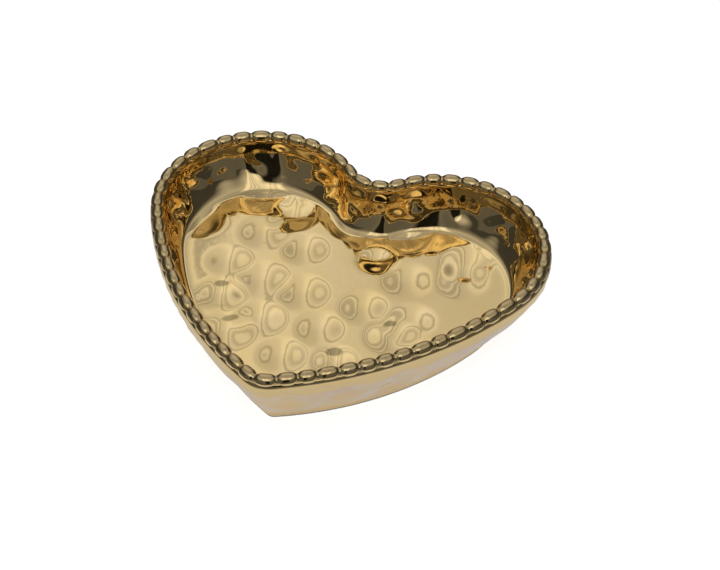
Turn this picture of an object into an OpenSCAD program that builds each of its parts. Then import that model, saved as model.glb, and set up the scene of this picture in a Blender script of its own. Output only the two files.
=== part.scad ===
// Open heart-shaped trinket dish in glazed ceramic, with a string of beads on its rim.
// Millimetres. The origin is under the middle of the dish, on the plane that it stands on.
// +Z is up and the heart's tip points to -Y. Nothing on the dish moves.
//
// Every outline is a chain of tangent arcs: tip, side, lobe and notch, mirrored about X = 0.
// The rim outline runs along the middle of the beads, and an offset changes only its radii.
// The base outline is the same heart drawn smaller, and the outer wall blends one into the other.

/* [Heart] */
// Distance between the centres of the two lobes
lobe_spacing = 58.4; // [50:0.2:76]
// Radius of each lobe along the beads
lobe_radius = 30.8; // [24:0.2:38]
// Radius of the long side between a lobe and the tip
side_radius = 119; // [90:1:160]
// How far below the horizontal a side leaves its lobe, in degrees
side_angle = 26; // [16:1:34]
// Radius of the tip along the beads
tip_radius = 8; // [5:0.2:12]
// Radius of the notch between the lobes
notch_radius = 11.6; // [7:0.2:16]

/* [Beads] */
// Number of beads around the rim, an odd number because one sits on the tip
bead_count = 61; // [41:2:81]
// Width of a bead at its middle
bead_w = 4.2; // [3.4:0.1:5.2]
// Width of a bead where it meets the next one
bead_end_w = 3.3; // [2.6:0.1:3.4]
// How far a bead's flat seat lies below its middle
bead_seat = 1.5; // [1:0.1:1.6]
// Crease between two neighbouring beads
bead_gap = 0.1; // [0.04:0.02:0.4]
// Height of the middle of the beads above the table
bead_z = 22.5; // [18:0.5:32]

/* [Wall] */
// Width of the wall's flat top, which the beads sit on
wall_top_w = 3.6; // [3:0.1:5]
// How far the lip under the beads stands out from their middle
lip_out = 2.8; // [2.6:0.1:4.5]
// How far the lip's edge lies below the middle of the beads
lip_drop = 3.9; // [3:0.1:6]
// Height of the floor above the table
floor_z = 8; // [6:0.2:11]
// Distance from the middle of the beads in to the edge of the floor, at the widest place
floor_in = 9.2; // [7:0.1:12]
// Shape of the inside: 1 is a quarter of an ellipse, and less is a wall that leans in sooner
inner_lean = 0.6; // [0.5:0.05:1]
// How much the outside bulges, as a share of its slope
outer_bulge = 0.05; // [0:0.01:0.1]

/* [Base] */
// How far the base is narrower than the bead line at the widest place, on each side
base_side_in = 10.2; // [6:0.2:12]
// How far the base's tip lies behind the bead line's tip
base_tip_in = 5.9; // [4:0.1:9]
// Radius of the base's tip
base_tip_radius = 4; // [3:0.1:7]
// Distance from the base's edge in to the plate that makes the middle of the floor
plate_in = 3.6; // [2.8:0.1:6]
// Thickness of the floor plate
plate_t = 5.5; // [3:0.1:6]
// Height of the bare foot ring
foot_h = 1; // [0.6:0.1:1.6]
// Width of the foot ring
foot_w = 2.2; // [1.4:0.1:2.4]
// Distance from the base's edge in to the foot ring
foot_in = 0.9; // [0.5:0.1:1.4]

/* [Hidden] */
$fn = 64;

GLAZE = [0.85, 0.73, 0.47];
BARE_CERAMIC = [0.93, 0.90, 0.84];

// Number of straight steps along the tip, side, lobe and notch of half an outline
STEPS = [4, 9, 20, 7];
// The smallest radius that an offset leaves at the tip
MIN_TIP = 0.3;

half_w = lobe_spacing / 2 + lobe_radius;
base_scale = 1 - base_side_in / half_w;
bead_pitch = 2 * half_length(rim_heart()) / bead_count;
seat_z = bead_z - bead_seat;
lip_z = bead_z - lip_drop;
flare_z = lip_z - 0.8;
edge_z = foot_h + 1.2;

// A heart is [lobe x, lobe radius, notch radius, side radius, tip radius, lobe y].
function plain_heart() =
    [lobe_spacing / 2, lobe_radius, notch_radius, side_radius, tip_radius, 0];

// The rim outline, moved so that the whole dish is centred on the origin
function rim_heart() =
    let (h = plain_heart())
    moved(h, -(tip_y(h) + lobe_radius) / 2);

// The base outline, a smaller heart with a tip radius of its own
function base_heart() =
    let (small = [for (v = plain_heart()) v * base_scale])
    let (h = [small[0], small[1], small[2], small[3], base_tip_radius, 0])
    moved(h, tip_y(rim_heart()) + base_tip_in - tip_y(h));

function moved(h, dy) = [h[0], h[1], h[2], h[3], h[4], h[5] + dy];

// The same heart, out by d all round, or in when d is negative
function offset_heart(h, d) =
    [h[0], h[1] + d, h[2] - d, h[3] + d, max(h[4] + d, MIN_TIP), h[5]];

// Centres and end angles of the arcs that make the right half of a heart
function lobe_centre(h) = [h[0], h[5]];
function side_centre(h) = lobe_centre(h) - (h[3] - h[1]) * [cos(side_angle), -sin(side_angle)];
function tip_centre(h) =
    let (c = side_centre(h))
    [0, c.y - sqrt(pow(h[3] - h[4], 2) - c.x * c.x)];
function notch_centre(h) = [0, h[5] + sqrt(pow(h[1] + h[2], 2) - h[0] * h[0])];
function tip_y(h) = tip_centre(h).y - h[4];

function direction(a, b) = atan2(b.y - a.y, b.x - a.x);
function tip_end(h) = direction(side_centre(h), tip_centre(h));
function lobe_end(h) = direction(lobe_centre(h), notch_centre(h));
function notch_start(h) = direction(notch_centre(h), lobe_centre(h));

// The arcs in order from the tip to the notch, each as [centre, radius, first angle, last angle]
function arcs(h) = [
    [tip_centre(h), h[4], -90, tip_end(h)],
    [side_centre(h), h[3], tip_end(h), -side_angle],
    [lobe_centre(h), h[1], -side_angle, lobe_end(h)],
    [notch_centre(h), h[2], notch_start(h), -90]
];

function on_arc(arc, a) = arc[0] + arc[1] * [cos(a), sin(a)];
function arc_length(arc) = abs(arc[3] - arc[2]) * PI / 180 * arc[1];
function half_length(h) = sum([for (arc = arcs(h)) arc_length(arc)]);
function sum(list, i = 0) = i == len(list) ? 0 : list[i] + sum(list, i + 1);

// Points from the tip to just before the notch, and then the whole outline counter-clockwise
function half_points(h) = [
    for (k = [0:3])
        let (arc = arcs(h)[k])
        for (i = [0:STEPS[k] - 1])
            on_arc(arc, arc[2] + (arc[3] - arc[2]) * i / STEPS[k])
];
function outline(h) =
    let (right = half_points(h))
    let (notch = on_arc(arcs(h)[3], -90))
    let (left = [for (i = [len(right) - 1:-1:1]) [-right[i].x, right[i].y]])
    concat(right, [notch], left);

// The place [x, y, heading] at a distance s from the tip, along the right half of a heart
function along(h, s, k = 0) =
    let (arc = arcs(h)[k])
    let (len_k = arc_length(arc))
    s > len_k && k < 3
        ? along(h, s - len_k, k + 1)
        : let (a = arc[2] + (arc[3] - arc[2]) * s / len_k)
          let (p = on_arc(arc, a))
          [p.x, p.y, arc[3] > arc[2] ? a + 90 : a - 90];

// The same on either half: a negative s goes up the left side
function along_rim(s) =
    let (p = along(rim_heart(), abs(s)))
    s < 0 ? [-p.x, p.y, -p[2]] : p;

// One level of the wall: the rim outline out by d_rim, blended by t into the base outline out by d_base
function level(d_rim, z, t = 0, d_base = 0) =
    let (a = outline(offset_heart(rim_heart(), d_rim)))
    let (b = outline(offset_heart(base_heart(), d_base)))
    [for (i = [0:len(a) - 1]) [each (a[i] * (1 - t) + b[i] * t), z]];

// How far the outside has gone from the rim outline to the base outline, u of the way down
function outer_blend(u) = u - outer_bulge * sin(180 * u);

// One level of the inside, which runs parallel to the outside and is d in at the widest place
function inner_level(d, z) =
    let (t = outer_blend(max(0, (flare_z - z) / (flare_z - edge_z))))
    let (shift = t * base_side_in - d)
    level(shift, z, t, shift);

// How far in the inside is, a degrees of the way from the flat top to the floor
function inner_inset(a) =
    let (top = wall_top_w / 2)
    top + (floor_in - top) * pow(1 - cos(a), inner_lean);

// The wall's section: from the flat top down the outside, under the base and up the inside
function wall_levels() =
    let (top = wall_top_w / 2)
    concat(
        [
            level(top, seat_z),
            level(top + 0.2, seat_z - 0.5),
            level((top + lip_out) / 2, (seat_z + lip_z) / 2),
            level(lip_out - 0.1, lip_z + 0.5),
            level(lip_out, lip_z)
        ],
        [for (u = [0:1/8:1]) level(lip_out - 0.3, flare_z + (edge_z - flare_z) * u, outer_blend(u))],
        [
            level(0, foot_h + 0.4, 1, -0.25),
            level(0, foot_h, 1, -0.8),
            level(0, foot_h, 1, -plate_in),
            level(0, floor_z, 1, -plate_in)
        ],
        [
            for (a = [90:-9:0])
                inner_level(inner_inset(a), seat_z - (seat_z - floor_z) * sin(a))
        ]
    );

// A closed band through a ring of levels, where the last level joins the first
module ring_of_levels(levels) {
    n = len(levels[0]);
    m = len(levels);
    points = [for (l = levels) each l];
    faces = [
        for (i = [0:m - 1], j = [0:n - 1])
            let (i2 = (i + 1) % m, j2 = (j + 1) % n)
            [i * n + j, i * n + j2, i2 * n + j2, i2 * n + j]
    ];
    polyhedron(points, faces);
}

module wall() {
    color(GLAZE)
    ring_of_levels(wall_levels());
}

module floor_plate() {
    color(GLAZE)
    translate([0, 0, floor_z - plate_t])
    linear_extrude(plate_t)
    polygon(outline(offset_heart(base_heart(), -plate_in)));
}

module foot_ring() {
    color(BARE_CERAMIC)
    linear_extrude(foot_h)
    difference() {
        polygon(outline(offset_heart(base_heart(), -foot_in)));
        polygon(outline(offset_heart(base_heart(), -foot_in - foot_w)));
    }
}

// A barrel along X, thinner towards its ends, made of straight tapers between round stations
function barrel_r(u) = bead_w / 2 - u * u * (bead_w - bead_end_w) / 2;
module barrel() {
    stations = [-1.3, -1, -0.65, -0.25, 0.25, 0.65, 1, 1.3];
    side = [for (u = stations) [barrel_r(u), u * bead_pitch / 2]];
    rotate([0, 90, 0])
    rotate_extrude()
    polygon([[0, side[0].y], each side, [0, side[len(side) - 1].y]]);
}

// The part of the rim that bead k may fill: mitred against its neighbours, flat below
module bead_cell(k) {
    from = along_rim((k - 0.5) * bead_pitch + bead_gap / 2);
    to = along_rim((k + 0.5) * bead_pitch - bead_gap / 2);
    reach = bead_w * 0.75;
    corners = [
        for (c = [[from, 1], [to, 1], [to, -1], [from, -1]])
            [c[0].x, c[0].y] + c[1] * reach * [sin(c[0][2]), -cos(c[0][2])]
    ];
    translate([0, 0, seat_z])
    linear_extrude(bead_w)
    polygon(corners);
}

module rim_beads() {
    last = (bead_count - 1) / 2;
    color(GLAZE)
    for (k = [-last:last]) {
        place = along_rim(k * bead_pitch);
        intersection() {
            translate([place.x, place.y, bead_z])
            rotate([0, 0, place[2]])
            barrel();
            bead_cell(k);
        }
    }
}

wall();
floor_plate();
foot_ring();
rim_beads();
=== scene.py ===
import math
import random

import bmesh
import bpy
from bpy.props import FloatProperty, FloatVectorProperty, IntProperty, PointerProperty
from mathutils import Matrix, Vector, kdtree


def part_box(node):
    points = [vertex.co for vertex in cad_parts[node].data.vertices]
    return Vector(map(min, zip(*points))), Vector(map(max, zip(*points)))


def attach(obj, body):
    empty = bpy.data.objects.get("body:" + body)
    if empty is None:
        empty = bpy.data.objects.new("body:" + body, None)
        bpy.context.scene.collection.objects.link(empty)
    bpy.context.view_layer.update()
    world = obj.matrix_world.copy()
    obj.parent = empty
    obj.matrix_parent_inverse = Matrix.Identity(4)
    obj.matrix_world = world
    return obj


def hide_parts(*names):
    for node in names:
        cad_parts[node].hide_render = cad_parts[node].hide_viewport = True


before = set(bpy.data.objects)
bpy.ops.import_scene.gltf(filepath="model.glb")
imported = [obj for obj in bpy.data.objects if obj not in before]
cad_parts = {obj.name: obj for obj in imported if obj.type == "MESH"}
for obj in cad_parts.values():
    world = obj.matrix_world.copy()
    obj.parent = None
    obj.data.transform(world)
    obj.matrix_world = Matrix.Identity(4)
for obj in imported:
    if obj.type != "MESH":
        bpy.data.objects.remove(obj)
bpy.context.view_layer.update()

bl_info = {
    "name": "Heart Trinket Dish",
    "version": (1, 0, 0),
    "blender": (4, 5, 0),
    "location": "View3D > Sidebar > Heart Dish",
    "description": "Models a heart-shaped gold lustre dish with a beaded rim and a hammered floor",
    "category": "Add Mesh",
}

MM = 0.001

# Heights that the solid parts fix
FOOT_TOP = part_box("foot_ring")[1].z
PLATE_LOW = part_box("floor_plate")[0].z
FLOOR_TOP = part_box("floor_plate")[1].z
BEAD_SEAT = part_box("rim_beads")[0].z
BEAD_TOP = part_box("rim_beads")[1].z

# Height of the middle of the beads
BEAD_MIDDLE = 22.5 * MM

# The flared outside runs down from one height to the other, from just outside the beads
FLARE_TOP = 17.8 * MM
FLARE_LOW = 2.2 * MM
FLARE_OUT = 2.1 * MM
FLARE_BOW = 0.05

# How far inside the middle of the beads the inner wall starts and ends
WALL_TOP_IN = 1.8 * MM
FLOOR_IN = 9.2 * MM

# Steps along the notch, the lobe, the side and the tip of an outline
BODY_STEPS = (5, 21, 22, 8)
STRING_STEPS = (14, 56, 58, 16)
MARK_STEPS = (24, 60, 48, 16)

# Places closer than this are the same place
TINY = 0.01 * MM


# ---------------------------------------------------------------- sizes and colours


class HeartSizes(bpy.types.PropertyGroup):
    lobe_spacing: FloatProperty(
        name="Lobe spacing", description="Distance between the centres of the two lobes",
        default=58.4 * MM, min=0, unit="LENGTH")
    lobe_radius: FloatProperty(
        name="Lobe radius", description="Radius of each lobe along the beads",
        default=30.8 * MM, min=0, unit="LENGTH")
    side_radius: FloatProperty(
        name="Side radius", description="Radius of the long side between a lobe and the tip",
        default=119 * MM, min=0, unit="LENGTH")
    side_angle: FloatProperty(
        name="Side angle", description="How far below the horizontal a side leaves its lobe",
        default=math.radians(26), subtype="ANGLE")
    tip_radius: FloatProperty(
        name="Tip radius", description="Radius of the tip along the beads",
        default=8 * MM, min=0, unit="LENGTH")
    notch_radius: FloatProperty(
        name="Notch radius", description="Radius of the notch between the lobes",
        default=11.6 * MM, min=0, unit="LENGTH")
    base_side_in: FloatProperty(
        name="Base inset at the sides", description="How far the base is narrower on each side",
        default=10.2 * MM, min=0, unit="LENGTH")
    base_tip_in: FloatProperty(
        name="Base inset at the tip",
        description="How far the base's tip lies behind the rim's tip",
        default=5.9 * MM, min=0, unit="LENGTH")
    base_tip_radius: FloatProperty(
        name="Base tip radius", description="Radius of the base's tip",
        default=4 * MM, min=0, unit="LENGTH")
    inner_lean: FloatProperty(
        name="Inner lean", description="1 is a quarter of an ellipse, and less leans in sooner",
        default=0.6, min=0.4, max=1)


class BeadSizes(bpy.types.PropertyGroup):
    count: IntProperty(
        name="Beads", description="Number of beads around the rim",
        default=61, min=11, max=121)
    width: FloatProperty(
        name="Bead width", description="Width of a bead at its middle",
        default=2 * (BEAD_TOP - BEAD_MIDDLE), min=0, unit="LENGTH")
    crease_width: FloatProperty(
        name="Crease width", description="Width of the string where two beads meet",
        default=2.3 * MM, min=0, unit="LENGTH")
    height: FloatProperty(
        name="Bead height", description="Height of the middle of the beads above the table",
        default=BEAD_MIDDLE, min=0, unit="LENGTH")
    variation: FloatProperty(
        name="Variation", description="How much the hand-rolled beads differ in length",
        default=0.12, min=0, max=0.4, subtype="FACTOR")
    seed: IntProperty(
        name="Seed", description="Chooses which beads are long and which are short",
        default=7, min=0)


class HammerSizes(bpy.types.PropertyGroup):
    floor_pitch: FloatProperty(
        name="Floor pitch", description="Distance between neighbouring dimples on the floor",
        default=17 * MM, min=0, unit="LENGTH")
    floor_depth: FloatProperty(
        name="Floor depth", description="Depth of a dimple on the floor",
        default=1.15 * MM, min=0, unit="LENGTH")
    wall_pitch: FloatProperty(
        name="Wall pitch", description="Distance between neighbouring dimples on the inner wall",
        default=11 * MM, min=0, unit="LENGTH")
    wall_depth: FloatProperty(
        name="Wall depth", description="Depth of a dimple on the inner wall",
        default=1 * MM, min=0, unit="LENGTH")
    outside_pitch: FloatProperty(
        name="Outside pitch", description="Distance between neighbouring facets on the outside",
        default=16 * MM, min=0, unit="LENGTH")
    outside_depth: FloatProperty(
        name="Outside depth", description="Depth of a facet on the outside",
        default=0.9 * MM, min=0, unit="LENGTH")
    seed: IntProperty(
        name="Seed", description="Chooses where the hammer struck",
        default=4, min=0)


class FinishColours(bpy.types.PropertyGroup):
    gold: FloatVectorProperty(
        name="Gold", description="Colour of the gold lustre where it is thick",
        default=(0.92, 0.69, 0.32), size=3, min=0, max=1, subtype="COLOR")
    pale_gold: FloatVectorProperty(
        name="Pale gold", description="Colour of the gold lustre where it is thin",
        default=(0.93, 0.71, 0.37), size=3, min=0, max=1, subtype="COLOR")
    thin_gold: FloatVectorProperty(
        name="Thin gold", description="Colour of the gold lustre on the faces that look down",
        default=(0.95, 0.75, 0.47), size=3, min=0, max=1, subtype="COLOR")
    bare_clay: FloatVectorProperty(
        name="Bare clay", description="Colour of the unglazed foot",
        default=(0.80, 0.74, 0.64), size=3, min=0, max=1, subtype="COLOR")
    table: FloatVectorProperty(
        name="Table", description="Colour of the pale table",
        default=(0.9, 0.9, 0.9), size=3, min=0, max=1, subtype="COLOR")


class CameraSizes(bpy.types.PropertyGroup):
    azimuth: FloatProperty(
        name="Azimuth", description="How far the camera stands to the right of the heart's tip",
        default=math.radians(21.05), subtype="ANGLE")
    elevation: FloatProperty(
        name="Elevation", description="How far the camera stands above the table",
        default=math.radians(43.81), subtype="ANGLE")
    distance: FloatProperty(
        name="Distance", description="Distance from the camera to what it looks at",
        default=559.4 * MM, min=0, unit="LENGTH")
    lens: FloatProperty(
        name="Lens", description="Focal length of the camera in millimetres",
        default=96.39, min=1)
    target: FloatVectorProperty(
        name="Target", description="The point that the camera looks at",
        default=(12.61 * MM, -4.4 * MM, BEAD_MIDDLE), size=3, unit="LENGTH")


class DishSettings(bpy.types.PropertyGroup):
    heart: PointerProperty(type=HeartSizes)
    beads: PointerProperty(type=BeadSizes)
    hammer: PointerProperty(type=HammerSizes)
    finish: PointerProperty(type=FinishColours)
    camera: PointerProperty(type=CameraSizes)


# ---------------------------------------------------------------- the heart outline

SHARPEST_TIP = 0.3 * MM


class Heart:
    """A heart of tangent arcs: notch, lobe, side and tip, the same on both sides of X = 0."""

    def __init__(self, lobe_x, lobe_r, notch_r, side_r, tip_r, lobe_y, side_angle):
        self.sizes = (lobe_x, lobe_r, notch_r, side_r, tip_r, lobe_y)
        self.side_angle = side_angle
        self.lobe_r = lobe_r
        self.tip_r = tip_r
        reach = side_r - lobe_r
        self.lobe = Vector((lobe_x, lobe_y))
        self.side = self.lobe - reach * Vector((math.cos(side_angle), -math.sin(side_angle)))
        drop = math.sqrt((side_r - tip_r) ** 2 - self.side.x ** 2)
        self.tip = Vector((0, self.side.y - drop))
        rise = math.sqrt((lobe_r + notch_r) ** 2 - lobe_x ** 2)
        self.notch = Vector((0, lobe_y + rise))
        self.notch_y = self.notch.y - notch_r
        self.tip_y = self.tip.y - tip_r

    def offset(self, d):
        """The same heart, out by d all round."""
        x, lobe_r, notch_r, side_r, tip_r, y = self.sizes
        tip_r = max(tip_r + d, SHARPEST_TIP)
        return Heart(x, lobe_r + d, notch_r - d, side_r + d, tip_r, y, self.side_angle)

    def moved(self, dy):
        """The same heart, dy further back."""
        return Heart(*self.sizes[:5], self.sizes[5] + dy, self.side_angle)

    def towards(self, other, t):
        """A heart between this one and another."""
        mixed = [a * (1 - t) + b * t for a, b in zip(self.sizes, other.sizes)]
        return Heart(*mixed, self.side_angle)

    def arcs(self, steps):
        """From the notch clockwise round to the notch: centre, turn and number of steps."""
        to_lobe = heading(self.notch, self.lobe)
        from_lobe = heading(self.lobe, self.notch)
        to_tip = heading(self.side, self.tip)
        quarter = math.pi / 2
        turns = [
            (self.notch, to_lobe + quarter),
            (self.lobe, -self.side_angle - from_lobe),
            (self.side, to_tip + self.side_angle),
            (self.tip, -quarter - to_tip),
        ]
        right = [(c, turn, n) for (c, turn), n in zip(turns, steps)]
        left = [(Vector((-c.x, c.y)), turn, n) for c, turn, n in reversed(right)]
        return right + left

    def points(self, pitch, start=0.5):
        """Places along the outline, about a pitch apart, counted from the notch."""
        arcs = self.arcs(MARK_STEPS)
        here = Vector((0, self.notch_y))
        chain = [here.copy()]
        for centre, turn, n in arcs:
            arm = here - centre
            for i in range(1, n + 1):
                chain.append(centre + turned(arm, turn * i / n))
            here = chain[-1].copy()
        length = sum((b - a).length for a, b in zip(chain, chain[1:]))
        count = max(3, round(length / pitch))
        wanted = [(i + start) * length / count for i in range(count)]
        found = []
        gone = 0
        for a, b in zip(chain, chain[1:]):
            step = (b - a).length
            while len(found) < count and wanted[len(found)] <= gone + step + 1e-9:
                found.append(a.lerp(b, (wanted[len(found)] - gone) / step))
            gone += step
        return found


def heading(a, b):
    return math.atan2(b.y - a.y, b.x - a.x)


def turned(v, angle):
    c, s = math.cos(angle), math.sin(angle)
    return Vector((c * v.x - s * v.y, s * v.x + c * v.y))


def rim_heart():
    """The outline along the middle of the beads, with the dish centred on the origin."""
    s = bpy.context.scene.heart_dish.heart
    plain = Heart(s.lobe_spacing / 2, s.lobe_radius, s.notch_radius,
                  s.side_radius, s.tip_radius, 0, s.side_angle)
    return plain.moved(-(plain.tip_y + s.lobe_radius) / 2)


def base_heart():
    """The outline of the base, a smaller heart with its own tip."""
    s = bpy.context.scene.heart_dish.heart
    scale = 1 - s.base_side_in / (s.lobe_spacing / 2 + s.lobe_radius)
    small = [v * scale for v in rim_heart().sizes[:4]]
    base = Heart(*small, s.base_tip_radius, 0, s.side_angle)
    return base.moved(rim_heart().tip_y + s.base_tip_in - base.tip_y)


def flared(u):
    """How far the outside has turned into the base's outline, u of the way down the flare."""
    return u - FLARE_BOW * math.sin(math.pi * u)


def flare_height(u):
    return FLARE_TOP + (FLARE_LOW - FLARE_TOP) * u


# ---------------------------------------------------------------- modelling by hand

# How far below the table the starting point of the outlines waits, in metres
START_DEPTH = 1

# A level is closed by a copy of itself, shrunk towards a point this far behind the middle
FILL_SHRINK = 0.86
FILL_CENTRE_Y = 3 * MM


def start_clean():
    if bpy.context.object and bpy.context.object.mode != "OBJECT":
        bpy.ops.object.mode_set(mode="OBJECT")
    bpy.ops.object.select_all(action="DESELECT")


def take_up(piece):
    """Selects a piece alone, and makes it the active one."""
    start_clean()
    bpy.context.view_layer.objects.active = piece
    piece.select_set(True)


def new_drawing(name):
    """A mesh that holds one point, far below, from which every outline is started."""
    start_clean()
    bpy.ops.mesh.primitive_plane_add(size=MM, location=(0, 0, 0))
    piece = bpy.context.object
    piece.name = name
    piece.data.name = name
    bpy.ops.object.mode_set(mode="EDIT")
    bpy.ops.mesh.select_mode(type="VERT")
    bpy.ops.mesh.select_all(action="SELECT")
    bpy.ops.mesh.merge(type="CENTER")
    bpy.ops.transform.translate(value=(0, 0, -START_DEPTH))
    return piece


def select_verts(test):
    bpy.ops.mesh.select_all(action="DESELECT")
    mesh = bpy.context.object.data
    edit = bmesh.from_edit_mesh(mesh)
    for vert in edit.verts:
        if test(vert):
            vert.select_set(True)
    edit.select_flush(True)
    bmesh.update_edit_mesh(mesh)


def select_start():
    select_verts(lambda v: v.co.z < -START_DEPTH / 2)


def draw_outline(heart, z, steps):
    """Draws a heart at height z by spinning a copy of the starting point round each arc."""
    select_start()
    bpy.ops.mesh.duplicate()
    bpy.ops.transform.translate(value=(0, heart.notch_y, z + START_DEPTH))
    for centre, turn, n in heart.arcs(steps):
        bpy.ops.mesh.spin(
            steps=n, dupli=False, angle=-turn, use_auto_merge=False,
            center=(centre.x, centre.y, z), axis=(0, 0, 1))


def drop_start():
    select_start()
    bpy.ops.mesh.delete(type="VERT")


def loft(levels, steps, closed=False):
    """Draws each level as an outline on its own storey, bridges them, and moves them into place.

    Each vertex keeps the number of its level.
    """
    storey = 5 * MM
    for i, (heart, _) in enumerate(levels):
        draw_outline(heart, i * storey, steps)
    drop_start()
    bpy.ops.mesh.select_all(action="SELECT")
    bpy.ops.mesh.remove_doubles(threshold=TINY)
    pairs = list(zip(range(len(levels)), range(1, len(levels))))
    if closed:
        pairs.append((len(levels) - 1, 0))
    for a, b in pairs:
        heights = (a * storey, b * storey)
        select_verts(lambda v: min(abs(v.co.z - h) for h in heights) < MM)
        bpy.ops.mesh.bridge_edge_loops()
    mesh = bpy.context.object.data
    edit = bmesh.from_edit_mesh(mesh)
    mark = edit.verts.layers.int.new("level")
    for vert in edit.verts:
        vert[mark] = round(vert.co.z / storey)
    bmesh.update_edit_mesh(mesh)
    for i, (_, z) in enumerate(levels):
        select_level(i)
        bpy.ops.transform.translate(value=(0, 0, z - i * storey))


def select_level(number):
    mark = bmesh.from_edit_mesh(bpy.context.object.data).verts.layers.int["level"]
    select_verts(lambda v: v[mark] == number)


def fill_in(level, z):
    """Closes an open level at height z with a smaller copy of itself, and a grid in the middle.

    The grid starts an eighth of the way round, so that notch and tip lie in the middle of a side.
    """
    select_level(level)
    around = sum(1 for v in bmesh.from_edit_mesh(bpy.context.object.data).verts if v.select)
    bpy.ops.mesh.extrude_edges_move(TRANSFORM_OT_translate={"value": (0, 0, 0)})
    bpy.ops.transform.resize(
        value=(FILL_SHRINK, FILL_SHRINK, 1), center_override=(0, FILL_CENTRE_Y, z))
    if "FINISHED" not in bpy.ops.mesh.fill_grid(span=around // 4, offset=around // 8):
        raise RuntimeError("the middle of a level was not closed")
    bpy.ops.mesh.vertices_smooth(factor=0.5, repeat=15, zaxis=False)


def apply_modifier(piece, kind, **settings):
    take_up(piece)
    modifier = piece.modifiers.new(kind.title(), kind)
    for name, value in settings.items():
        setattr(modifier, name, value)
    bpy.ops.object.modifier_apply(modifier=modifier.name)


def merge_close(piece, distance):
    """Joins the vertices of a piece that are closer together than a distance."""
    take_up(piece)
    bpy.ops.object.mode_set(mode="EDIT")
    bpy.ops.mesh.select_all(action="SELECT")
    bpy.ops.mesh.remove_doubles(threshold=distance)
    bpy.ops.object.mode_set(mode="OBJECT")


def outward_and_smooth(piece):
    take_up(piece)
    bpy.ops.object.mode_set(mode="EDIT")
    bpy.ops.mesh.select_all(action="SELECT")
    bpy.ops.mesh.normals_make_consistent(inside=False)
    bpy.ops.object.mode_set(mode="OBJECT")
    bpy.ops.object.shade_smooth()


def hand_over(piece, slot, material, *nodes):
    """Gives a piece its finish, its body and the solid parts that it stands for."""
    piece.data.materials.clear()
    piece.data.materials.append(material)
    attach(piece, "root")
    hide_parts(*nodes)


# ---------------------------------------------------------------- hammered dimples

# A mark's radius as a share of the pitch, and its share of the full depth, lowest and highest
MARK_RADIUS = (0.45, 0.56)
MARK_SHARE = (0.5, 1)

# How far a mark strays from its place, as a share of the pitch
FLOOR_JITTER = 0.24
WALL_JITTER = 0.15

# Distance between two rows on the floor, as a share of the pitch
ROW_STEP = 0.87

# How many marks may overlap at a point
NEAREST_MARKS = 5

# The scallops under the beads, outside and inside
SCALLOP_PITCH = 5.75 * MM
SCALLOP_RADIUS = 0.6 * SCALLOP_PITCH
SCALLOP_DEPTH = 0.3 * MM

# The dents' weights are shares of this depth, and a region's weight below the last is none
FULL_DENT = 2 * MM
FAINT = 0.001


def struck_places(places, pitch, dice, jitter):
    """Hammer marks near the given places, each a point, its radius and its share of the depth."""
    marks = []
    for p in places:
        shift = Vector([dice.uniform(-jitter, jitter) * pitch for axis in range(3)])
        radius = pitch * dice.uniform(*MARK_RADIUS)
        marks.append((Vector(p) + shift, radius, dice.uniform(*MARK_SHARE)))
    return marks


def struck_along(heart, z, pitch, start, dice):
    """Hammer marks along an outline at height z."""
    line = heart.points(pitch, start)
    return struck_places([(p.x, p.y, z) for p in line], pitch, dice, WALL_JITTER)


def scallops(heart, z):
    """Even marks along an outline at height z, one to a scallop."""
    line = heart.points(SCALLOP_PITCH)
    return [(Vector((p.x, p.y, z)), SCALLOP_RADIUS, 1) for p in line]


def staggered_rows(pitch, z):
    """Places in staggered rows over the floor of the heart."""
    low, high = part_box("floor_plate")
    row = 0
    places = []
    y = low.y
    while y < high.y:
        x = low.x + (row % 2) * pitch / 2
        while x < high.x:
            places.append((x, y, z))
            x += pitch
        y += pitch * ROW_STEP
        row += 1
    return places


class Marks:
    """Hammer marks that can be asked how deep they are at a point."""

    def __init__(self, marks):
        self.marks = marks
        self.tree = kdtree.KDTree(len(marks))
        for i, mark in enumerate(marks):
            self.tree.insert(mark[0], i)
        self.tree.balance()

    def depth(self, point):
        """The soft bowls of the nearest marks, added up where they overlap."""
        total = 0
        for _, i, gap in self.tree.find_n(point, NEAREST_MARKS):
            radius, share = self.marks[i][1:]
            total += share * max(0, 1 - (gap / radius) ** 2) ** 2
        return total


def hammer(piece, regions):
    """Dents the piece. Each region is a vertex group, its marks and how deep they go."""
    mesh = piece.data
    dents = piece.vertex_groups.new(name="dents")
    groups = {piece.vertex_groups[name].index: (marks, depth)
              for name, marks, depth in regions}
    for vert in mesh.vertices:
        total = 0
        for g in vert.groups:
            if g.group in groups and g.weight > FAINT:
                marks, depth = groups[g.group]
                total += g.weight * depth * marks.depth(vert.co)
        if total > 0:
            dents.add([vert.index], total / FULL_DENT, "REPLACE")
    apply_modifier(piece, "DISPLACE", direction="NORMAL", mid_level=0,
                   strength=-FULL_DENT, vertex_group="dents")


# ---------------------------------------------------------------- shader nodes

# Noise lies mostly between these two, so mixes and spreads run from one to the other
NOISE_LOW = 0.3
NOISE_HIGH = 0.7

WHITE = (1, 1, 1, 1)
UP = (0, 0, 1)


def new_material(name):
    """A material with an empty node tree but for its shader and output."""
    material = bpy.data.materials.new(name)
    material.use_nodes = True
    tree = material.node_tree
    tree.nodes.clear()
    shader = tree.nodes.new("ShaderNodeBsdfPrincipled")
    output = tree.nodes.new("ShaderNodeOutputMaterial")
    tree.links.new(shader.outputs["BSDF"], output.inputs["Surface"])
    return material, tree, shader


def feed(tree, socket, value):
    """Links a socket to another node's output, or sets it to a plain value."""
    if isinstance(value, bpy.types.NodeSocket):
        tree.links.new(value, socket)
    else:
        socket.default_value = value


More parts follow.
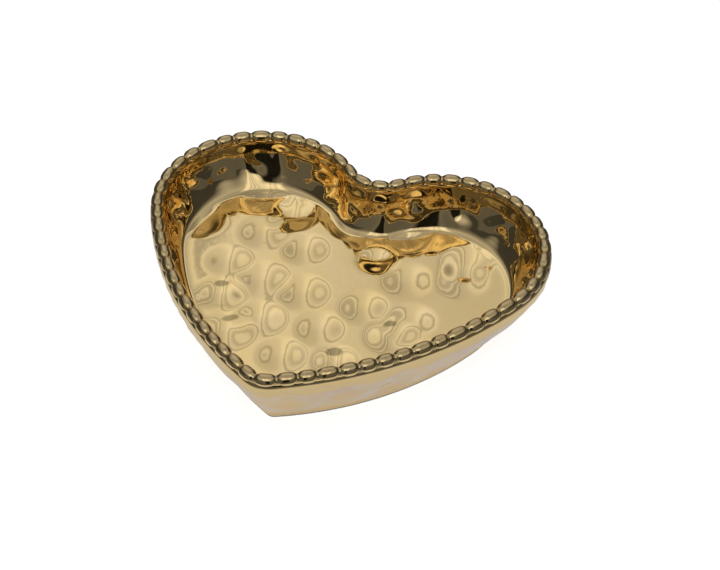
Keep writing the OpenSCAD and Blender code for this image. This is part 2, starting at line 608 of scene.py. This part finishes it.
def calculate(tree, operation, *values):
    node = tree.nodes.new("ShaderNodeMath")
    node.operation = operation
    for socket, value in zip(node.inputs, values):
        feed(tree, socket, value)
    return node.outputs["Value"]


def mix(tree, blend, factor, a, b):
    """Mixes two colours, whose sockets have the same names as others on the node."""
    node = tree.nodes.new("ShaderNodeMix")
    node.data_type = "RGBA"
    node.blend_type = blend
    feed(tree, node.inputs["Factor"], factor)
    feed(tree, node.inputs[6], a)
    feed(tree, node.inputs[7], b)
    return node.outputs[2]


def along(tree, direction, axis):
    """How far a direction points along an axis, from -1 to 1."""
    dot = tree.nodes.new("ShaderNodeVectorMath")
    dot.operation = "DOT_PRODUCT"
    dot.inputs[1].default_value = axis
    tree.links.new(direction, dot.inputs[0])
    return dot.outputs["Value"]


def facing_up(tree):
    """How far the surface faces up, from -1 to 1."""
    return along(tree, tree.nodes.new("ShaderNodeNewGeometry").outputs["Normal"], UP)


def grey_ramp(tree, value, stops):
    """A ramp of greys, with each stop as a position and a brightness."""
    ramp = tree.nodes.new("ShaderNodeValToRGB")
    elements = ramp.color_ramp.elements
    while len(elements) < len(stops):
        elements.new(0.5)
    for element, (position, grey) in zip(elements, stops):
        element.position = position
        element.color = (grey, grey, grey, 1)
    tree.links.new(value, ramp.inputs["Fac"])
    return ramp.outputs["Color"]


def noise_on_piece(tree, scale, detail):
    """Noise that sticks to the piece, with scale in waves per metre."""
    place = tree.nodes.new("ShaderNodeTexCoord")
    noise = tree.nodes.new("ShaderNodeTexNoise")
    noise.inputs["Scale"].default_value = scale
    noise.inputs["Detail"].default_value = detail
    tree.links.new(place.outputs["Object"], noise.inputs["Vector"])
    return noise.outputs["Fac"]


def mix_colours(tree, noise, first, second):
    """Runs from one colour to another as the noise rises."""
    ramp = tree.nodes.new("ShaderNodeValToRGB")
    low, high = ramp.color_ramp.elements
    low.position = NOISE_LOW
    low.color = (*first, 1)
    high.position = NOISE_HIGH
    high.color = (*second, 1)
    tree.links.new(noise, ramp.inputs["Fac"])
    return ramp.outputs["Color"]


def spread(tree, noise, low, high):
    """Runs from one value to another as the noise rises."""
    node = tree.nodes.new("ShaderNodeMapRange")
    node.inputs["From Min"].default_value = NOISE_LOW
    node.inputs["From Max"].default_value = NOISE_HIGH
    node.inputs["To Min"].default_value = low
    node.inputs["To Max"].default_value = high
    tree.links.new(noise, node.inputs["Value"])
    return node.outputs["Result"]


def bumps(tree, shader, height, distance):
    bump = tree.nodes.new("ShaderNodeBump")
    bump.inputs["Strength"].default_value = 1
    bump.inputs["Distance"].default_value = distance
    tree.links.new(height, bump.inputs["Height"])
    tree.links.new(bump.outputs["Normal"], shader.inputs["Normal"])


# ---------------------------------------------------------------- finishes


def tinted(colour, tint):
    """A colour with its red, green and blue each scaled."""
    return [c * share for c, share in zip(colour, tint)]


def gold_tone(tree, colours):
    """The slightly uneven tone of the gold, between thick and thin."""
    return mix_colours(tree, noise_on_piece(tree, 110, 3), colours.gold, colours.pale_gold)


def gold_lustre():
    """Mirror gold over glaze, with a faint orange peel, thin and mauve on the undersides."""
    colours = bpy.context.scene.heart_dish.finish
    material, tree, shader = new_material("gold_lustre")
    shader.inputs["Metallic"].default_value = 1
    down = calculate(tree, "MULTIPLY_ADD", facing_up(tree), -1, 0)
    thinning = grey_ramp(tree, down, ((0, 0), (0.08, 0), (0.42, 1), (1, 1)))
    patches = noise_on_piece(tree, 75, 1)
    mauve = tinted(colours.thin_gold, (0.86, 0.9, 1.1))
    thin = mix_colours(tree, patches, mauve, colours.thin_gold)
    gold = mix(tree, "MIX", thinning, gold_tone(tree, colours), thin)
    tree.links.new(gold, shader.inputs["Base Color"])
    smear = noise_on_piece(tree, 240, 4)
    tree.links.new(spread(tree, smear, 0.025, 0.06), shader.inputs["Roughness"])
    peel = noise_on_piece(tree, 420, 1)
    bumps(tree, shader, peel, 0.012 * MM)
    return material


def rubbed_lustre_with_painted_shade():
    """The lustre on the beads: mirror gold on their sides; on top rubbed rough and grainy, with
    painted shade that darkens the gold there.
    """
    colours = bpy.context.scene.heart_dish.finish
    material, tree, shader = new_material("rubbed_lustre_with_painted_shade")
    shader.inputs["Metallic"].default_value = 1
    top = grey_ramp(tree, facing_up(tree), ((0.8, 0), (0.93, 1)))
    grain = noise_on_piece(tree, 1500, 3)
    # Painted shade: the bead tops get a darker gold than their sides, standing for the dim light
    # that they mirror.
    shaded_gold = tinted(colours.gold, (0.7, 0.7, 0.8))
    shaded_pale_gold = tinted(colours.pale_gold, (0.82, 0.82, 0.82))
    grainy_shaded_gold = mix_colours(tree, grain, shaded_gold, shaded_pale_gold)
    gold = mix(tree, "MIX", top, gold_tone(tree, colours), grainy_shaded_gold)
    tree.links.new(gold, shader.inputs["Base Color"])
    tree.links.new(spread(tree, top, 0.04, 0.3), shader.inputs["Roughness"])
    bumps(tree, shader, calculate(tree, "MULTIPLY", grain, top), 0.03 * MM)
    return material


def bare_clay():
    """The unglazed foot: chalky, with fine grit and faint specks."""
    colours = bpy.context.scene.heart_dish.finish
    material, tree, shader = new_material("bare_clay")
    shader.inputs["Roughness"].default_value = 0.85
    dark = tinted(colours.bare_clay, (0.78, 0.78, 0.78))
    specks = mix_colours(tree, noise_on_piece(tree, 1400, 5), dark, colours.bare_clay)
    tree.links.new(specks, shader.inputs["Base Color"])
    bumps(tree, shader, noise_on_piece(tree, 2600, 4), 0.05 * MM)
    return material


def table_top():
    """A pale matt table that glows so that it looks evenly lit, and that the gold mirrors only
    near the dish: there a painted light makes it bright and glowing, and further out it is painted
    dark.
    """
    colours = bpy.context.scene.heart_dish.finish
    material, tree, shader = new_material("table_top")
    paper = noise_on_piece(tree, 300, 3)
    pale = [min(c * 1.02, 1) for c in colours.table]
    sheet = mix_colours(tree, paper, colours.table, pale)
    seen = tree.nodes.new("ShaderNodeLightPath").outputs["Is Camera Ray"]
    place = tree.nodes.new("ShaderNodeTexCoord")
    away = tree.nodes.new("ShaderNodeVectorMath")
    away.operation = "LENGTH"
    tree.links.new(place.outputs["Object"], away.inputs[0])
    # A stop's position is a distance from the middle of the dish, in metres
    # Painted reflection: in the gold's mirror the table is bright near the dish and painted dark
    # further out.
    near = grey_ramp(tree, away.outputs["Value"], ((0.078, 1), (0.1, 0.15), (1, 0.1)))
    tree.links.new(mix(tree, "MIX", seen, near, sheet), shader.inputs["Base Color"])
    shader.inputs["Roughness"].default_value = 1
    shader.inputs["Specular IOR Level"].default_value = 0
    shader.inputs["Emission Color"].default_value = WHITE
    # Painted light: the table glows near the dish, where the gold mirrors it.
    mirrored_glow = calculate(tree, "MULTIPLY", near, 0.28)
    seen_glow = calculate(tree, "MULTIPLY", seen, 0.8)
    glow = calculate(tree, "MAXIMUM", mirrored_glow, seen_glow)
    tree.links.new(glow, shader.inputs["Emission Strength"])
    return material


# ---------------------------------------------------------------- the pieces


class MESH_OT_heart_dish_body(bpy.types.Operator):
    """Model the dish itself: underside, flared outside, lip, inner wall, cove and floor"""

    bl_idname = "mesh.heart_dish_body"
    bl_label = "Dish Body"

    def execute(self, context):
        rim = rim_heart()
        base = base_heart()
        piece = new_drawing("dish_body")
        sections = [self.underside(base), self.outside(rim, base), self.inside(rim, base)]
        levels = sum(sections, [])
        loft(levels, BODY_STEPS)
        fill_in(0, PLATE_LOW)
        fill_in(len(levels) - 1, FLOOR_TOP)
        bpy.ops.object.mode_set(mode="OBJECT")
        self.mark_regions(piece, [len(section) for section in sections])
        apply_modifier(piece, "SUBSURF", levels=2, render_levels=2)
        outward_and_smooth(piece)
        self.hammer(context, piece, rim, base)
        hand_over(piece, "gold_glaze", gold_lustre(), "wall", "floor_plate")
        return {"FINISHED"}

    def underside(self, base):
        """From the recess over the table, past the foot ring, to the step above it."""
        rows = [(-14, 0), (-9.5, 0), (-5.6, 0), (-4.3, -0.05), (-3.8, -1.4), (-3.1, -1.5),
                (-0.9, -1.5), (-0.4, -1.3), (-0.35, -0.4), (-0.15, 0.6)]
        return [(base.offset(d * MM), PLATE_LOW + z * MM) for d, z in rows]

    def outside(self, rim, base):
        """The flared wall, up from the base to the lip and the beads."""
        edge = rim.offset(FLARE_OUT)
        flare = [(edge.towards(base, flared(u)), flare_height(u))
                 for u in (0.9, 0.76, 0.6, 0.44, 0.28, 0.13, 0)]
        lip = [(rim.offset(d * MM), z * MM) for d, z in (
            (2.2, 18.6), (2.3, 19.5), (2.34, 20.5), (2.28, 21.4), (2.08, 22.2), (1.6, 22.8))]
        return flare + lip

    def inside(self, rim, base):
        """Down the inner wall, which leans in and runs out into the floor in a cove."""
        lean = bpy.context.scene.heart_dish.heart.inner_lean
        levels = [(rim.offset(d * MM), z * MM) for d, z in ((-1.3, 22.7), (-1.72, 21.9))]
        drop = BEAD_SEAT - FLOOR_TOP
        for degrees in (4, 13, 22, 32, 42, 52, 62, 71, 80):
            a = math.radians(degrees)
            inset = WALL_TOP_IN + (FLOOR_IN - WALL_TOP_IN) * (1 - math.cos(a)) ** lean
            levels.append(self.parallel(rim, base, inset, BEAD_SEAT - drop * math.sin(a)))
        for inset in (10.2, 12.8, 16, 20):
            levels.append(self.parallel(rim, base, inset * MM, FLOOR_TOP))
        return levels

    def parallel(self, rim, base, inset, z):
        """A level of the inside that runs parallel to the outside at the same height."""
        t = flared(max(0, (FLARE_TOP - z) / (FLARE_TOP - FLARE_LOW)))
        shift = t * bpy.context.scene.heart_dish.heart.base_side_in - inset
        return rim.offset(shift).towards(base.offset(shift), t), z

    def mark_regions(self, piece, counts):
        """Vertex groups that say where each kind of hammer mark belongs, and how strongly.

        The levels are copied first, because adding to a group moves them in memory.
        """
        under, outside = counts[:2]
        first_inside = under + outside
        shares = {
            "outside": dict(zip(range(under, under + 7), (0.3, 0.9, 1, 1, 1, 0.8, 0.3))),
            "lip": dict(zip(range(under + 6, under + 10), (0.6, 1, 1, 0.5))),
            "brim": dict(zip(range(first_inside + 1, first_inside + 6), (0.3, 0.8, 1, 1, 0.4))),
            "wall": dict(zip(range(first_inside + 2, first_inside + 10),
                             (0.4, 1, 1, 1, 0.8, 0.4, 0.15, 0.05))),
            "floor": {},
        }
        groups = {name: piece.vertex_groups.new(name=name) for name in shares}
        levels = [mark.value for mark in piece.data.attributes["level"].data]
        for vert in piece.data.vertices:
            level = levels[vert.index]
            for name, share in shares.items():
                if level in share:
                    groups[name].add([vert.index], share[level], "REPLACE")
            if abs(vert.co.z - FLOOR_TOP) < TINY:
                groups["floor"].add([vert.index], 1, "REPLACE")

    def hammer(self, context, piece, rim, base):
        sizes = context.scene.heart_dish.hammer
        dice = random.Random(sizes.seed)
        rows = staggered_rows(sizes.floor_pitch, FLOOR_TOP)
        strayed = struck_places(rows, sizes.floor_pitch, dice, FLOOR_JITTER)
        floor = [(Vector((p.x, p.y, FLOOR_TOP)), radius, share) for p, radius, share in strayed]
        wall = []
        for d, z, start in ((3, 17, 0.5), (5, 12.4, 0)):
            heart, height = self.parallel(rim, base, d * MM, z * MM)
            wall += struck_along(heart, height, sizes.wall_pitch, start, dice)
        outside = []
        for u, start in ((0.12, 0.5), (0.5, 0), (0.9, 0.5)):
            heart = rim.offset(2.5 * MM).towards(base, u)
            outside += struck_along(heart, flare_height(u), sizes.outside_pitch, start, dice)
        lip = scallops(rim.offset(2.3 * MM), 18.5 * MM)
        brim = scallops(rim.offset(-2.5 * MM), 18.6 * MM)
        regions = [
            ("floor", Marks(floor), sizes.floor_depth),
            ("wall", Marks(wall), sizes.wall_depth),
            ("outside", Marks(outside), sizes.outside_depth),
            ("lip", Marks(lip), SCALLOP_DEPTH),
            ("brim", Marks(brim), SCALLOP_DEPTH),
        ]
        hammer(piece, regions)


# A bead starts as a tube of this many sides, a little thick, because smoothing thins it again
BEAD_SIDES = 16
BEAD_THICKENED = 1.035

# Rings cut into a bead, and how long it stays full before it is drawn in: 2 is a round bead
BEAD_CUTS = 9
BEAD_FULLNESS = 3.6

# How much a bead may be narrower or wider, and lower, than the others
GIRTH_RANGE = (-0.035, 0.01)
HEIGHT_RANGE = (-0.03, 0)

# Ends of beads closer than this are joined, before they are bent round the rim and after
JOIN_STRAIGHT = 0.14 * MM
JOIN_BENT = 0.12 * MM


class MESH_OT_heart_dish_beads(bpy.types.Operator):
    """Model the string of beads along the rim"""

    bl_idname = "mesh.heart_dish_beads"
    bl_label = "Bead String"

    def execute(self, context):
        sizes = context.scene.heart_dish.beads
        rim = self.rim_line(sizes)
        length = rim.data.splines[0].calc_length()
        bead = self.one_bead(sizes, length / sizes.count)
        string = self.string_up(sizes, bead, length)
        apply_modifier(string, "SUBSURF", levels=1, render_levels=1)
        apply_modifier(string, "CURVE", object=rim, deform_axis="POS_X")
        bpy.data.objects.remove(rim)
        merge_close(string, JOIN_BENT)
        outward_and_smooth(string)
        hand_over(string, "gold_glaze", rubbed_lustre_with_painted_shade(), "rim_beads")
        return {"FINISHED"}

    def rim_line(self, sizes):
        """The middle of the beads as a curve that starts and ends at the notch."""
        line = new_drawing("rim_line")
        draw_outline(rim_heart(), sizes.height, STRING_STEPS)
        drop_start()
        bpy.ops.object.mode_set(mode="OBJECT")
        bpy.ops.object.convert(target="CURVE")
        line = bpy.context.object
        line.data.dimensions = "3D"
        line.data.twist_mode = "Z_UP"
        return line

    def one_bead(self, sizes, pitch):
        """A short tube along X, cut into rings that are drawn in towards its ends."""
        start_clean()
        bpy.ops.mesh.primitive_cylinder_add(
            vertices=BEAD_SIDES, radius=BEAD_THICKENED * sizes.width / 2, depth=pitch,
            end_fill_type="NOTHING", rotation=(0, math.pi / 2, 0))
        bead = bpy.context.object
        bead.name = "bead"
        bpy.ops.object.transform_apply(location=True, rotation=True, scale=True)
        bpy.ops.object.mode_set(mode="EDIT")
        bpy.ops.mesh.select_mode(type="EDGE")
        bpy.ops.mesh.select_all(action="DESELECT")
        edit = bmesh.from_edit_mesh(bead.data)
        for edge in edit.edges:
            a, b = edge.verts
            edge.select_set(abs(a.co.x - b.co.x) > pitch / 2)
        bmesh.update_edit_mesh(bead.data)
        bpy.ops.mesh.subdivide(number_cuts=BEAD_CUTS)
        bpy.ops.mesh.select_mode(type="VERT")
        draw_in = 1 - sizes.crease_width / sizes.width
        for ring in range(BEAD_CUTS + 2):
            u = 2 * ring / (BEAD_CUTS + 1) - 1
            x = u * pitch / 2
            select_verts(lambda v: abs(v.co.x - x) < 0.05 * MM)
            slim = 1 - draw_in * abs(u) ** BEAD_FULLNESS
            bpy.ops.transform.resize(value=(1, slim, slim), center_override=(x, 0, 0))
        bpy.ops.object.mode_set(mode="OBJECT")
        return bead

    def string_up(self, sizes, bead, length):
        """Copies the bead along X, each a little different, and joins the copies."""
        dice = random.Random(sizes.seed)
        vary = sizes.variation
        lengths = [1 + dice.uniform(-vary, vary) for _ in range(sizes.count)]
        fit = length / sum(lengths)
        pitch = length / sizes.count
        copies = []
        x = 0
        for share in lengths:
            take_up(bead)
            bpy.ops.object.duplicate(linked=False)
            copy = bpy.context.object
            long = share * fit
            copy.location = (x + long / 2, 0, 0)
            girth = 1 + dice.uniform(*GIRTH_RANGE)
            copy.scale = (long / pitch, girth, 1 + dice.uniform(*HEIGHT_RANGE))
            copies.append(copy)
            x += long
        start_clean()
        for copy in copies:
            copy.select_set(True)
        bpy.context.view_layer.objects.active = copies[0]
        bpy.ops.object.join()
        string = bpy.context.object
        bpy.ops.object.transform_apply(location=True, rotation=True, scale=True)
        string.name = "bead_string"
        string.data.name = "bead_string"
        bpy.data.objects.remove(bead)
        merge_close(string, JOIN_STRAIGHT)
        return string


class MESH_OT_heart_dish_foot(bpy.types.Operator):
    """Model the bare ring that the dish stands on"""

    bl_idname = "mesh.heart_dish_foot"
    bl_label = "Foot Ring"

    def execute(self, context):
        base = base_heart()
        piece = new_drawing("foot_ring_bare")
        rows = [(-0.9, 1), (-0.9, 0.45), (-0.98, 0.12), (-1.25, 0), (-2, 0), (-2.75, 0),
                (-3.02, 0.12), (-3.1, 0.45), (-3.1, 1)]
        levels = [(base.offset(d * MM), FOOT_TOP * z) for d, z in rows]
        loft(levels, BODY_STEPS, closed=True)
        bpy.ops.object.mode_set(mode="OBJECT")
        apply_modifier(piece, "SUBSURF", levels=1, render_levels=1)
        outward_and_smooth(piece)
        hand_over(piece, "bare_ceramic", bare_clay(), "foot_ring")
        return {"FINISHED"}


# ---------------------------------------------------------------- the studio

TABLE_RADIUS = 1.2
SENSOR_WIDTH = 36


def studio_sky(context):
    """A soft tent of light panels round and over the dish, with a dim gap low at the front.

    Where the backdrop is looked at directly it is white.
    """
    world = bpy.data.worlds.new("studio_sky")
    context.scene.world = world
    world.use_nodes = True
    tree = world.node_tree
    tree.nodes.clear()
    links = tree.links
    sky = tree.nodes.new("ShaderNodeBackground")
    output = tree.nodes.new("ShaderNodeOutputWorld")
    links.new(sky.outputs["Background"], output.inputs["Surface"])
    direction = tree.nodes.new("ShaderNodeTexCoord").outputs["Generated"]

    angle = context.scene.heart_dish.camera.azimuth
    front = along(tree, direction, (math.sin(angle), -math.cos(angle), 0))
    right = along(tree, direction, (math.cos(angle), math.sin(angle), 0))
    up = along(tree, direction, UP)

    over = calculate(tree, "ARCTAN2", up, front)
    over = calculate(tree, "DIVIDE", over, math.pi)
    middle = grey_ramp(tree, over, (
        (0, 0.02), (0.21, 0.02), (0.235, 0.6), (0.27, 0.9), (0.38, 0.8), (0.44, 0.38),
        (0.645, 0.36), (0.652, 0.74), (0.7, 0.72), (0.76, 0.62), (0.86, 0.58), (0.9, 0.26),
        (1, 0.2)))
    panels = grey_ramp(tree, up, (
        (0, 0.04), (0.52, 0.05), (0.62, 0.2), (0.78, 0.5), (0.95, 0.36)))
    aside = calculate(tree, "ABSOLUTE", right)
    to_side = grey_ramp(tree, aside, ((0, 0), (0.27, 0), (0.34, 1), (1, 1)))
    arch = mix(tree, "MIX", to_side, middle, panels)
    half = calculate(tree, "MULTIPLY_ADD", right, 0.5, 0.5)
    dim = grey_ramp(tree, half, (
        (0, 0.1), (0.4, 0.12), (0.43, 0.01), (0.6, 0.01), (0.64, 0.12), (1, 0.1)))
    low = grey_ramp(tree, over, ((0, 1), (0.21, 1), (0.235, 0), (1, 0)))
    base = mix(tree, "MIX", low, arch, dim)

    waver = tree.nodes.new("ShaderNodeTexNoise")
    waver.inputs["Scale"].default_value = 2.6
    waver.inputs["Detail"].default_value = 0
    links.new(direction, waver.inputs["Vector"])
    across = calculate(tree, "MULTIPLY_ADD", right, 1.5, 0.5)
    across = calculate(tree, "MULTIPLY_ADD", waver.outputs["Fac"], 0.12, across)
    across = calculate(tree, "ADD", across, -0.06)
    strips = grey_ramp(tree, across, (
        (0.02, 1), (0.08, 1.08), (0.16, 1.25), (0.21, 1.15), (0.235, 0.84), (0.29, 1.05),
        (0.33, 1.22), (0.36, 0.7), (0.39, 1.22), (0.44, 1.14), (0.5, 0.99), (0.61, 0.9),
        (0.635, 0.58), (0.66, 1.12), (0.69, 0.72), (0.73, 0.7), (0.755, 1.14), (0.785, 0.84),
        (0.82, 0.76), (0.85, 1.14), (0.9, 1.2), (0.97, 0.95)))
    light = mix(tree, "MULTIPLY", 1, base, strips)
    seen = tree.nodes.new("ShaderNodeLightPath").outputs["Is Camera Ray"]
    links.new(mix(tree, "MIX", seen, light, WHITE), sky.inputs["Color"])
    sky.inputs["Strength"].default_value = 1


class SCENE_OT_heart_dish_studio(bpy.types.Operator):
    """Set up the pale table, the soft light and the camera"""

    bl_idname = "scene.heart_dish_studio"
    bl_label = "Studio"

    def execute(self, context):
        self.table(context)
        studio_sky(context)
        self.camera(context)
        context.scene.view_settings.view_transform = "Standard"
        return {"FINISHED"}

    def table(self, context):
        start_clean()
        bpy.ops.mesh.primitive_circle_add(
            vertices=96, radius=TABLE_RADIUS, fill_type="NGON", location=(0, 0, 0))
        table = context.object
        table.name = "table"
        bpy.ops.object.mode_set(mode="EDIT")
        bpy.ops.mesh.select_all(action="SELECT")
        bpy.ops.mesh.inset(thickness=0.2, depth=0)
        bpy.ops.object.mode_set(mode="OBJECT")
        table.data.materials.append(table_top())

    def camera(self, context):
        sizes = context.scene.heart_dish.camera
        a, e = sizes.azimuth, sizes.elevation
        back = Vector((math.sin(a) * math.cos(e), -math.cos(a) * math.cos(e), math.sin(e)))
        start_clean()
        bpy.ops.object.camera_add(location=Vector(sizes.target) + back * sizes.distance)
        camera = context.object
        camera.rotation_euler = back.to_track_quat("Z", "Y").to_euler()
        camera.data.lens = sizes.lens
        camera.data.sensor_width = SENSOR_WIDTH
        camera.data.clip_start = 0.01
        context.scene.camera = camera


class VIEW3D_PT_heart_dish(bpy.types.Panel):
    bl_idname = "VIEW3D_PT_heart_dish"
    bl_label = "Heart Dish"
    bl_space_type = "VIEW_3D"
    bl_region_type = "UI"
    bl_category = "Heart Dish"

    def draw(self, context):
        settings = context.scene.heart_dish
        groups = (settings.heart, settings.beads, settings.hammer, settings.finish,
                  settings.camera)
        for group in groups:
            box = self.layout.box()
            for name in group.bl_rna.properties.keys():
                if name not in ("rna_type", "name"):
                    box.prop(group, name)
        column = self.layout.column()
        for operator in OPERATORS:
            column.operator(operator.bl_idname)


OPERATORS = (
    MESH_OT_heart_dish_body,
    MESH_OT_heart_dish_beads,
    MESH_OT_heart_dish_foot,
    SCENE_OT_heart_dish_studio,
)
GROUPS = (HeartSizes, BeadSizes, HammerSizes, FinishColours, CameraSizes, DishSettings)


def register():
    for cls in GROUPS + OPERATORS + (VIEW3D_PT_heart_dish,):
        bpy.utils.register_class(cls)
    bpy.types.Scene.heart_dish = PointerProperty(type=DishSettings)


def unregister():
    del bpy.types.Scene.heart_dish
    for cls in reversed(GROUPS + OPERATORS + (VIEW3D_PT_heart_dish,)):
        bpy.utils.unregister_class(cls)


def main():
    register()
    bpy.ops.mesh.heart_dish_body()
    bpy.ops.mesh.heart_dish_beads()
    bpy.ops.mesh.heart_dish_foot()
    bpy.ops.scene.heart_dish_studio()


if __name__ == "__main__":
    main()
